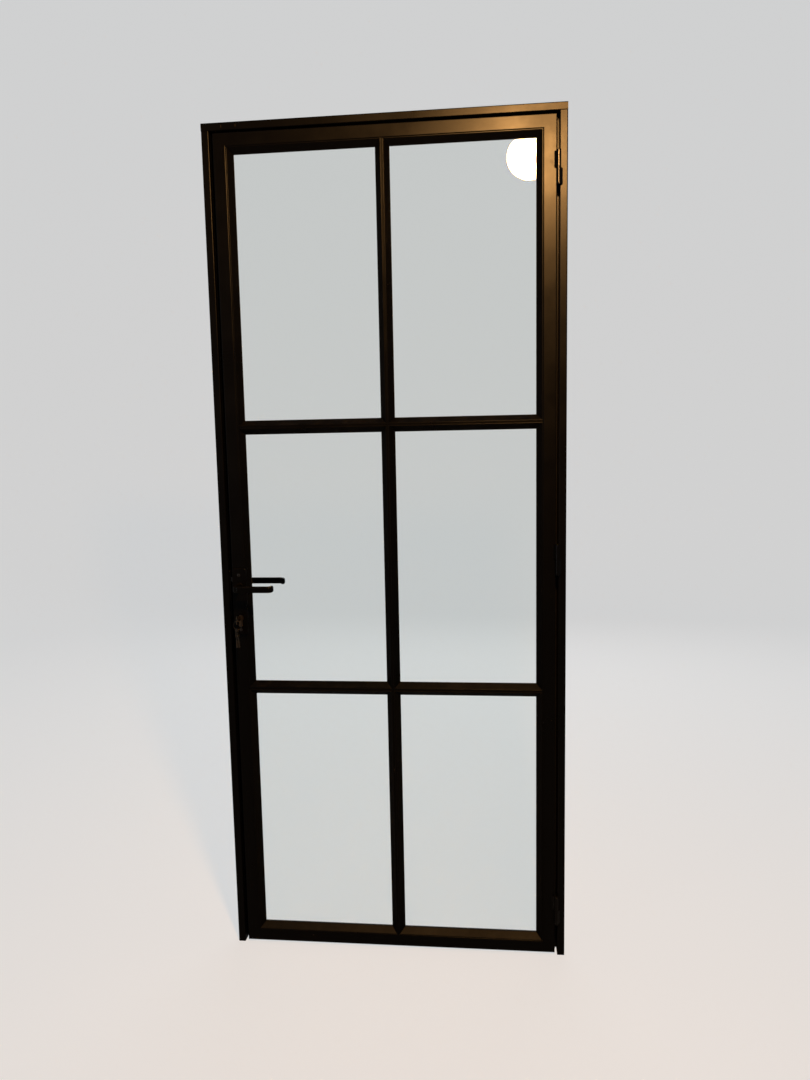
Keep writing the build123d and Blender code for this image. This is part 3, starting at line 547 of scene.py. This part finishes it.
def cross_bar(turn):
    """One tapered bar of the cross recess, half of it above the head."""
    bpy.ops.mesh.primitive_cube_add(size=1)
    bar = bpy.context.object
    bar.scale = (CROSS_WIDTH, CROSS_LENGTH, 2 * CROSS_DEPTH)
    settle(bar)
    pick_faces(bar, looks_down)
    bpy.ops.transform.resize(value=CROSS_TAPER)
    bpy.ops.object.mode_set(mode="OBJECT")
    bar.rotation_euler = (0, 0, turn)
    settle(bar)
    return bar


def countersunk_screw(length):
    """A screw that points down, its head's face at the origin."""
    deselect()
    bpy.ops.mesh.primitive_cylinder_add(vertices=48, radius=SCREW_HEAD / 2, depth=SCREW_SINK,
                                        location=(0, 0, -SCREW_SINK / 2))
    screw = bpy.context.object
    settle(screw)
    pick_faces(screw, looks_down)
    bpy.ops.transform.resize(value=(SCREW_SHANK / SCREW_HEAD, SCREW_SHANK / SCREW_HEAD, 1.0))
    bpy.ops.mesh.extrude_region_move(TRANSFORM_OT_translate={"value": (0, 0, SCREW_SINK - length)})
    bpy.ops.object.mode_set(mode="OBJECT")
    for turn in (radians(45), radians(135)):
        cut_away(screw, cross_bar(turn))
    round_edges(screw, SCREW_EDGE, angle=35)
    return screw


def screws_for(node, name, facing, material, body):
    """Screws in place of a node's one or two plain ones, which stand one above the other."""
    low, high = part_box(node)
    turn, axis, side = facing
    screw = countersunk_screw((high - low)[axis] - SCREW_END_PLAY)
    pieces = []
    # a node with one screw gives the same height twice
    heights = {round(z, 5) for z in (low.z + SCREW_HEAD / 2, high.z - SCREW_HEAD / 2)}
    for height in sorted(heights):
        place = (low + high) / 2
        place.z = height
        place[axis] = (low if side < 0 else high)[axis]
        pieces.append(copy_to(screw, name, place, turn))
    bpy.data.objects.remove(screw, do_unlink=True)
    made = dress(join(pieces, name), material, body, angle=30)
    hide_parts(node)
    print(name, "triangles:", sum(len(face.vertices) - 2 for face in made.data.polygons))


screws_for("plate_screws", "crossed_plate_screws", TO_VIEWER, dark_steel, "leaf")
screws_for("faceplate_screws", "crossed_faceplate_screws", TO_LOCK_SIDE,
           bare_steel, "leaf")
screws_for("strike_screws", "crossed_strike_screws", TO_HINGE_SIDE, dark_steel, "frame")
screws_for("cylinder_screw", "crossed_cylinder_screw", TO_LOCK_SIDE, bare_steel, "leaf")

# %% [markdown]
# The levers are held on their spindle by small headless screws from below. Each
# has a hexagonal socket, which is a six-sided cylinder taken out of a round one.

# %% Headless screws
SOCKET_RADIUS = 1.45 * MM
SOCKET_DEPTH = 1.5 * MM
GRUB_EDGE = 0.15 * MM


def grub_pair():
    """Both headless screws, sockets down, in place of the plain ones."""
    low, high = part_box("grub_screws")
    diameter = (high - low).x
    deselect()
    bpy.ops.mesh.primitive_cylinder_add(vertices=40, radius=diameter / 2, depth=(high - low).z)
    grub = bpy.context.object
    bpy.ops.mesh.primitive_cylinder_add(vertices=6, radius=SOCKET_RADIUS, depth=2 * SOCKET_DEPTH,
                                        location=(0, 0, -(high - low).z / 2))
    cut_away(grub, bpy.context.object)
    round_edges(grub, GRUB_EDGE, angle=35)
    middle = (low + high) / 2
    pair = [copy_to(grub, "grub", (middle.x, y, middle.z))
            for y in (low.y + diameter / 2, high.y - diameter / 2)]
    bpy.data.objects.remove(grub, do_unlink=True)
    made = dress(join(pair, "socketed_grub_screws"), dark_steel, "handle", angle=30)
    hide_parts("grub_screws")
    return made


grubs = grub_pair()
print("grub screws:", len(grubs.data.polygons), "faces")

# %% [markdown]
# ## Hinges
#
# A lift-off hinge has its upper knuckle closed by a low dome, and its lower one
# by the foot of the pin. Each is a disc whose rim is rounded. The tails are
# welded on: a weld is a row of small ripples under the paint. It starts as a thin
# cylinder, cut into rings, and every other ring is drawn in a little.

# %% Caps and welds of the hinges
WASHER_THICKNESS = 2 * MM
CAP_HEIGHT = 1.6 * MM
CAP_ROUNDING = 0.75 * CAP_HEIGHT
CAP_INSET = 0.3 * MM
WELD_RADIUS = 0.9 * MM
WELD_RIPPLES = 26
WELD_DIP = 0.8
WELD_SHORTER = 5 * MM
LEAF_WELD_RISE = 3 * MM
FRAME_WELD_DROP = 2 * MM


def hinge_places():
    """The axis of the hinges and the height of each one's middle, from their washers."""
    low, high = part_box("hinge_washers")
    axis = ((low.x + high.x) / 2, (low.y + high.y) / 2)
    span = high.z - low.z - WASHER_THICKNESS
    return axis, [low.z + span * n / 2 + WASHER_THICKNESS / 2 for n in range(3)]


def hinge_cap(radius):
    """A low dome, its flat foot at the origin."""
    deselect()
    bpy.ops.mesh.primitive_cylinder_add(vertices=64, radius=radius, depth=CAP_HEIGHT,
                                        location=(0, 0, CAP_HEIGHT / 2))
    cap = bpy.context.object
    settle(cap)
    pick_faces(cap, looks_up)
    bpy.ops.mesh.bevel(offset=CAP_ROUNDING, segments=5, affect="EDGES")
    bpy.ops.object.mode_set(mode="OBJECT")
    return cap


def weld(length):
    """A rippled weld that stands on the origin."""
    deselect()
    bpy.ops.mesh.primitive_cylinder_add(vertices=16, radius=WELD_RADIUS, depth=length,
                                        location=(0, 0, length / 2))
    seam = bpy.context.object
    settle(seam)
    step = length / WELD_RIPPLES
    for n in range(1, WELD_RIPPLES):
        bpy.ops.object.mode_set(mode="EDIT")
        bpy.ops.mesh.select_all(action="SELECT")
        bpy.ops.mesh.bisect(plane_co=(0, 0, n * step), plane_no=(0, 0, 1))
        if n % 2:
            bpy.ops.transform.resize(value=(WELD_DIP, WELD_DIP, 1.0))
    bpy.ops.object.mode_set(mode="OBJECT")
    return seam


axis, hinge_middles = hinge_places()
leaf_low, leaf_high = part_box("hinge_leaf_knuckles")
frame_low, frame_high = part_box("hinge_frame_knuckles")
knuckle_reach = leaf_high.z - hinge_middles[2]
cap = hinge_cap(axis[1] - frame_low.y - CAP_INSET)
tops = [copy_to(cap, "cap", (*axis, z + knuckle_reach)) for z in hinge_middles]
feet = [copy_to(cap, "foot", (*axis, z - knuckle_reach), (pi, 0, 0)) for z in hinge_middles]
bpy.data.objects.remove(cap, do_unlink=True)
dress(join(tops, "hinge_top_caps"), hinge_coat, "leaf")
dress(join(feet, "hinge_foot_caps"), hinge_coat, "frame")

weld_length = knuckle_reach - WELD_SHORTER
seam = weld(weld_length)
leaf_seams = [copy_to(seam, "weld", (leaf_low.x, leaf_high.y, z + LEAF_WELD_RISE))
              for z in hinge_middles]
frame_seams = [copy_to(seam, "weld", (frame_high.x, leaf_high.y, z - FRAME_WELD_DROP - weld_length))
               for z in hinge_middles]
bpy.data.objects.remove(seam, do_unlink=True)
leaf_welds = dress(join(leaf_seams, "hinge_leaf_welds"), black_coat, "leaf", angle=60)
dress(join(frame_seams, "hinge_frame_welds"), black_coat, "frame", angle=60)
print("hinge middles:", [round(z, 4) for z in hinge_middles])
print("weld faces:", len(leaf_welds.data.polygons))

# %% [markdown]
# ## Glazing lips
#
# Between each bead and its pane the soft tape shows as a thin black lip, in front
# and behind. It is a plane, inset by the lip's width, with its middle taken out,
# pulled to its depth and rounded. One plane is made per pane and side.

# %% Lips of the glazing tape
LIP_WIDTH = 1.7 * MM
FRONT_LIP_INSET = 12.0 * MM
REAR_LIP_INSET = 9.0 * MM
LIP_DEPTH = 1.3 * MM
LIP_EDGE = 0.35 * MM


def glazing_lip(name, pane, inset, start, depth):
    """One lip: a rounded rectangular strip on a pane's face."""
    low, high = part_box(pane)
    deselect()
    bpy.ops.mesh.primitive_plane_add(size=1, rotation=(pi / 2, 0, 0),
                                     location=((low.x + high.x) / 2, start, (low.z + high.z) / 2))
    lip = bpy.context.object
    lip.scale = (high.x - low.x - 2 * inset, high.z - low.z - 2 * inset, 1)
    settle(lip)
    lip.name = name
    bpy.ops.object.mode_set(mode="EDIT")
    bpy.ops.mesh.select_all(action="SELECT")
    bpy.ops.mesh.inset(thickness=LIP_WIDTH, depth=0)
    bpy.ops.mesh.delete(type="FACE")
    bpy.ops.mesh.select_all(action="SELECT")
    bpy.ops.mesh.extrude_region_move(TRANSFORM_OT_translate={"value": (0, depth, 0)})
    bpy.ops.mesh.select_all(action="SELECT")
    bpy.ops.mesh.normals_make_consistent(inside=False)
    bpy.ops.object.mode_set(mode="OBJECT")
    round_edges(lip, LIP_EDGE, angle=40)
    return dress(lip, black_rubber, "leaf")


lips = []
for pane in sorted(name for name in frame["nodes"] if name.startswith("pane_")):
    low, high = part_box(pane)
    where = pane.replace("pane_", "")
    lips.append(glazing_lip("front_lip_" + where, pane, FRONT_LIP_INSET, low.y, -LIP_DEPTH))
    lips.append(glazing_lip("rear_lip_" + where, pane, REAR_LIP_INSET, high.y, LIP_DEPTH))
print("glazing lips:", len(lips))

# %% [markdown]
# ## Keys
#
# The solid keys are flat plates. A pressed key has a sunken panel inside a raised
# rim, on both faces of its bow, and all its edges are broken. So each is a copy of
# the solid's mesh with its loose triangles merged, cut across where the bow meets
# the neck. The faces of the bow are inset all round, which also leaves a rim round
# the hole, and pushed in. A narrow bevel softens the rest.

# %% Keys with rims
BOW_LENGTH = 26.0 * MM
BLADE_AND_NECK = 29.0 * MM
RIM_WIDTH = 2.0 * MM
PANEL_DEPTH = 0.35 * MM
KEY_EDGE = 0.16 * MM
SAME_PLACE = 0.002 * MM


def rimmed_keys(node, name, cut_place, cut_normal, body):
    """The keys of a node with rims round their bows, in place of the flat ones."""
    deselect()
    keys = bpy.data.objects.new(name, frame["nodes"][node].data.copy())
    bpy.context.collection.objects.link(keys)
    keys.select_set(True)
    bpy.context.view_layer.objects.active = keys
    bpy.ops.object.mode_set(mode="EDIT")
    bpy.ops.mesh.select_all(action="SELECT")
    bpy.ops.mesh.remove_doubles(threshold=SAME_PLACE)
    bpy.ops.mesh.select_all(action="SELECT")
    bpy.ops.mesh.bisect(plane_co=cut_place, plane_no=cut_normal)
    bow_way = Vector(cut_normal)
    limit = Vector(cut_place).dot(bow_way)
    pick_faces(keys, lambda centre, normal: abs(normal.x) > 0.99 and centre.dot(bow_way) > limit)
    bpy.ops.mesh.inset(thickness=RIM_WIDTH, depth=-PANEL_DEPTH)
    bpy.ops.mesh.select_all(action="SELECT")
    bpy.ops.mesh.dissolve_limited(angle_limit=radians(1))
    bpy.ops.object.mode_set(mode="OBJECT")
    round_edges(keys, KEY_EDGE, angle=50)
    dress(keys, key_metal, body, angle=30)
    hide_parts(node)
    return keys


key_low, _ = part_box("key")
spare_low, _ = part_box("spare_keys")
lock_key = rimmed_keys("key", "rimmed_key", (0, key_low.y + BOW_LENGTH, 0), (0, -1, 0), "key_plug")
spare_keys = rimmed_keys("spare_keys", "rimmed_spare_keys", (0, 0, spare_low.z + BLADE_AND_NECK),
                         (0, 0, 1), "hanging_keys")
print("key faces:", len(lock_key.data.polygons), len(spare_keys.data.polygons))

# %% [markdown]
# ## Studio
#
# A pale floor that sweeps up into a wall all round has no edge behind the door,
# so nothing shows through the panes but an even tone, from whichever side one
# looks. It starts as an upright cylinder: the top is taken off, and the fold
# between floor and wall is rounded with a bevel.

# %% Studio floor and wall
BOWL_RADIUS = 7.0
WALL_HEIGHT = 9.0
SWEEP_RADIUS = 2.2
SWEEP_SEGMENTS = 24
PALE_TONE = (0.76, 0.772, 0.78)
DIM_TONE = (0.12, 0.118, 0.11)
GLOW = 0.80
# LIT_SHARE of the pale tone answers to the lamps while all of it glows, and polished
# pieces mirror only GLOSSY_SHARE of that
LIT_SHARE = 0.42
GLOSSY_SHARE = 0.08


def seen_directly(tree, path):
    """One for rays from the camera, also through glass, until a surface has mirrored them."""
    through = path.outputs["Is Transmission Ray"]
    seen = math_node(tree, "MAXIMUM", path.outputs["Is Camera Ray"], through)
    bounces = math_node(tree, "ADD", path.outputs["Glossy Depth"], path.outputs["Diffuse Depth"])
    none_yet = math_node(tree, "LESS_THAN", bounces, 0.5)
    return math_node(tree, "MULTIPLY", seen, none_yet)


def stage_material(name, pale, dim, glow):
    """A matte tone that the camera sees pale, while it throws back less light on the door."""
    material, tree, shader = start_material(name)
    shader.inputs["Base Color"].default_value = (*(LIT_SHARE * tone for tone in pale), 1.0)
    shader.inputs["Roughness"].default_value = 0.9
    shader.inputs["Specular IOR Level"].default_value = 0.0
    shader.inputs["Emission Color"].default_value = (*pale, 1.0)
    shader.inputs["Emission Strength"].default_value = glow
    quiet = tree.nodes.new("ShaderNodeBsdfDiffuse")
    quiet.inputs["Color"].default_value = (*dim, 1.0)
    path = tree.nodes.new("ShaderNodeLightPath")
    mirrored = math_node(tree, "MULTIPLY", path.outputs["Is Glossy Ray"], GLOSSY_SHARE)
    either = math_node(tree, "MAXIMUM", seen_directly(tree, path), mirrored)
    choice = tree.nodes.new("ShaderNodeMixShader")
    tree.links.new(either, choice.inputs["Fac"])
    tree.links.new(quiet.outputs["BSDF"], choice.inputs[1])
    tree.links.new(shader.outputs["BSDF"], choice.inputs[2])
    tree.links.new(choice.outputs["Shader"], tree.nodes["Material Output"].inputs["Surface"])
    return material


def studio_bowl():
    """The floor with a round wall, the fold between them rounded, seen from inside."""
    deselect()
    bpy.ops.mesh.primitive_cylinder_add(vertices=128, radius=BOWL_RADIUS, depth=WALL_HEIGHT,
                                        location=(0, 0, WALL_HEIGHT / 2))
    bowl = bpy.context.object
    bowl.name = "studio_bowl"
    settle(bowl)
    pick_faces(bowl, looks_up)
    bpy.ops.mesh.delete(type="FACE")
    bpy.ops.mesh.select_all(action="SELECT")
    bpy.ops.mesh.flip_normals()
    bpy.ops.mesh.select_mode(type="EDGE")
    bpy.ops.mesh.select_all(action="DESELECT")
    bpy.ops.object.mode_set(mode="OBJECT")
    for edge in bowl.data.edges:
        edge.select = all(bowl.data.vertices[v].co.z < MM for v in edge.vertices)
    bpy.ops.object.mode_set(mode="EDIT")
    bpy.ops.mesh.bevel(offset=SWEEP_RADIUS, segments=SWEEP_SEGMENTS, affect="EDGES")
    bpy.ops.object.mode_set(mode="OBJECT")
    bpy.ops.object.shade_smooth()
    bowl.data.materials.append(stage_material("studio_tone", PALE_TONE, DIM_TONE, GLOW))
    return bowl


bowl = studio_bowl()
print("bowl faces:", len(bowl.data.polygons))

# %% [markdown]
# One warm lamp hangs high in front of the door, a little to the right. It is placed
# so that the flat steel mirrors it near the upper right corner: from there the
# shine dies away to the left and downwards, as far as the paint's gloss carries
# it. A tall cool box stands far to the left, as a window would, where the glass shows
# no image of it, and draws the thin lines of light on the round hinges. A weak box
# nearby and a wide one behind only keep the far sides readable, and the air is bright
# to the camera alone.

# %% Lights and world
WARM = (1.0, 0.50, 0.155)
CREAM = (1.0, 0.95, 0.9)
COOL = (0.86, 0.93, 1.0)
WHITE = (1.0, 1.0, 1.0)


def soft_box(name, place, target, width, height, power, colour, shape="RECTANGLE"):
    """An area lamp that looks at a point; it lights and is mirrored, but isn't seen itself."""
    deselect()
    bpy.ops.object.light_add(type="AREA", location=place)
    lamp = bpy.context.object
    lamp.name = name
    lamp.data.shape = shape
    lamp.data.size = width
    lamp.data.size_y = height
    lamp.data.energy = power
    lamp.data.color = colour
    lamp.visible_camera = False
    lamp.visible_transmission = False
    aim = Vector(target) - Vector(place)
    lamp.rotation_euler = aim.to_track_quat("-Z", "Y").to_euler()
    return lamp


soft_box("key_lamp", place=(0.450, -1.6, 2.652), target=(0.1, 0.0, 1.5), width=0.19, height=0.19,
         power=54.0, colour=WARM, shape="DISK")
soft_box("fill_box", place=(-2.4, -1.2, 1.7), target=(0.0, 0.0, 1.1), width=1.0, height=1.8,
         power=1.2, colour=CREAM)
soft_box("window_box", place=(-2.8, -3.0, 1.75), target=(0.0, 0.0, 1.75), width=0.6, height=2.9,
         power=6.0, colour=COOL)
soft_box("rear_box", place=(0.3, 3.4, 2.5), target=(0.0, 0.0, 1.2), width=3.6, height=2.2,
         power=36.0, colour=WHITE)


def two_way_air(near_colour, near_strength, seen_colour):
    """Air that lights the object weakly and shows pale to the camera and through glass."""
    world = bpy.context.scene.world or bpy.data.worlds.new("studio_air")
    bpy.context.scene.world = world
    world.use_nodes = True
    tree = world.node_tree
    air = tree.nodes["Background"]
    air.inputs["Color"].default_value = (*near_colour, 1.0)
    air.inputs["Strength"].default_value = near_strength
    pale = tree.nodes.new("ShaderNodeBackground")
    pale.inputs["Color"].default_value = (*seen_colour, 1.0)
    pale.inputs["Strength"].default_value = 1.0
    path = tree.nodes.new("ShaderNodeLightPath")
    choice = tree.nodes.new("ShaderNodeMixShader")
    tree.links.new(seen_directly(tree, path), choice.inputs["Fac"])
    tree.links.new(air.outputs["Background"], choice.inputs[1])
    tree.links.new(pale.outputs["Background"], choice.inputs[2])
    tree.links.new(choice.outputs["Shader"], tree.nodes["World Output"].inputs["Surface"])


two_way_air(near_colour=(0.90, 0.95, 1.0), near_strength=0.09, seen_colour=(0.86, 0.855, 0.84))

# %% [markdown]
# ## Camera
#
# The view is a person's, standing a little right of the middle and looking
# slightly down. A camera's own axes are built from the three angles, roll last,
# and its lens follows from the field of view of the picture.

# %% Camera
CAMERA_PLACE = Vector((0.2639, -2.159, 1.437))
YAW, PITCH, ROLL = radians(-5.91), radians(-7.0), radians(-1.125)
PICTURE_HEIGHT = 1080
FOCAL_PIXELS = 812.4
SENSOR = 36.0

forward = Vector((sin(YAW) * cos(PITCH), cos(YAW) * cos(PITCH), sin(PITCH)))
level = Vector((cos(YAW), -sin(YAW), 0))
above = level.cross(forward)
right = cos(ROLL) * level + sin(ROLL) * above
up = -sin(ROLL) * level + cos(ROLL) * above

deselect()
bpy.ops.object.camera_add(location=CAMERA_PLACE)
camera = bpy.context.object
camera.name = "viewer"
turn = Matrix((right, up, -forward)).transposed().to_4x4()
camera.matrix_world = Matrix.Translation(CAMERA_PLACE) @ turn
camera.data.sensor_fit = "VERTICAL"
camera.data.sensor_height = SENSOR
camera.data.lens = SENSOR * FOCAL_PIXELS / PICTURE_HEIGHT
camera.data.clip_end = 50.0
bpy.context.scene.camera = camera
bpy.context.scene.view_settings.view_transform = "Standard"
print("lens:", round(camera.data.lens, 2), "mm")
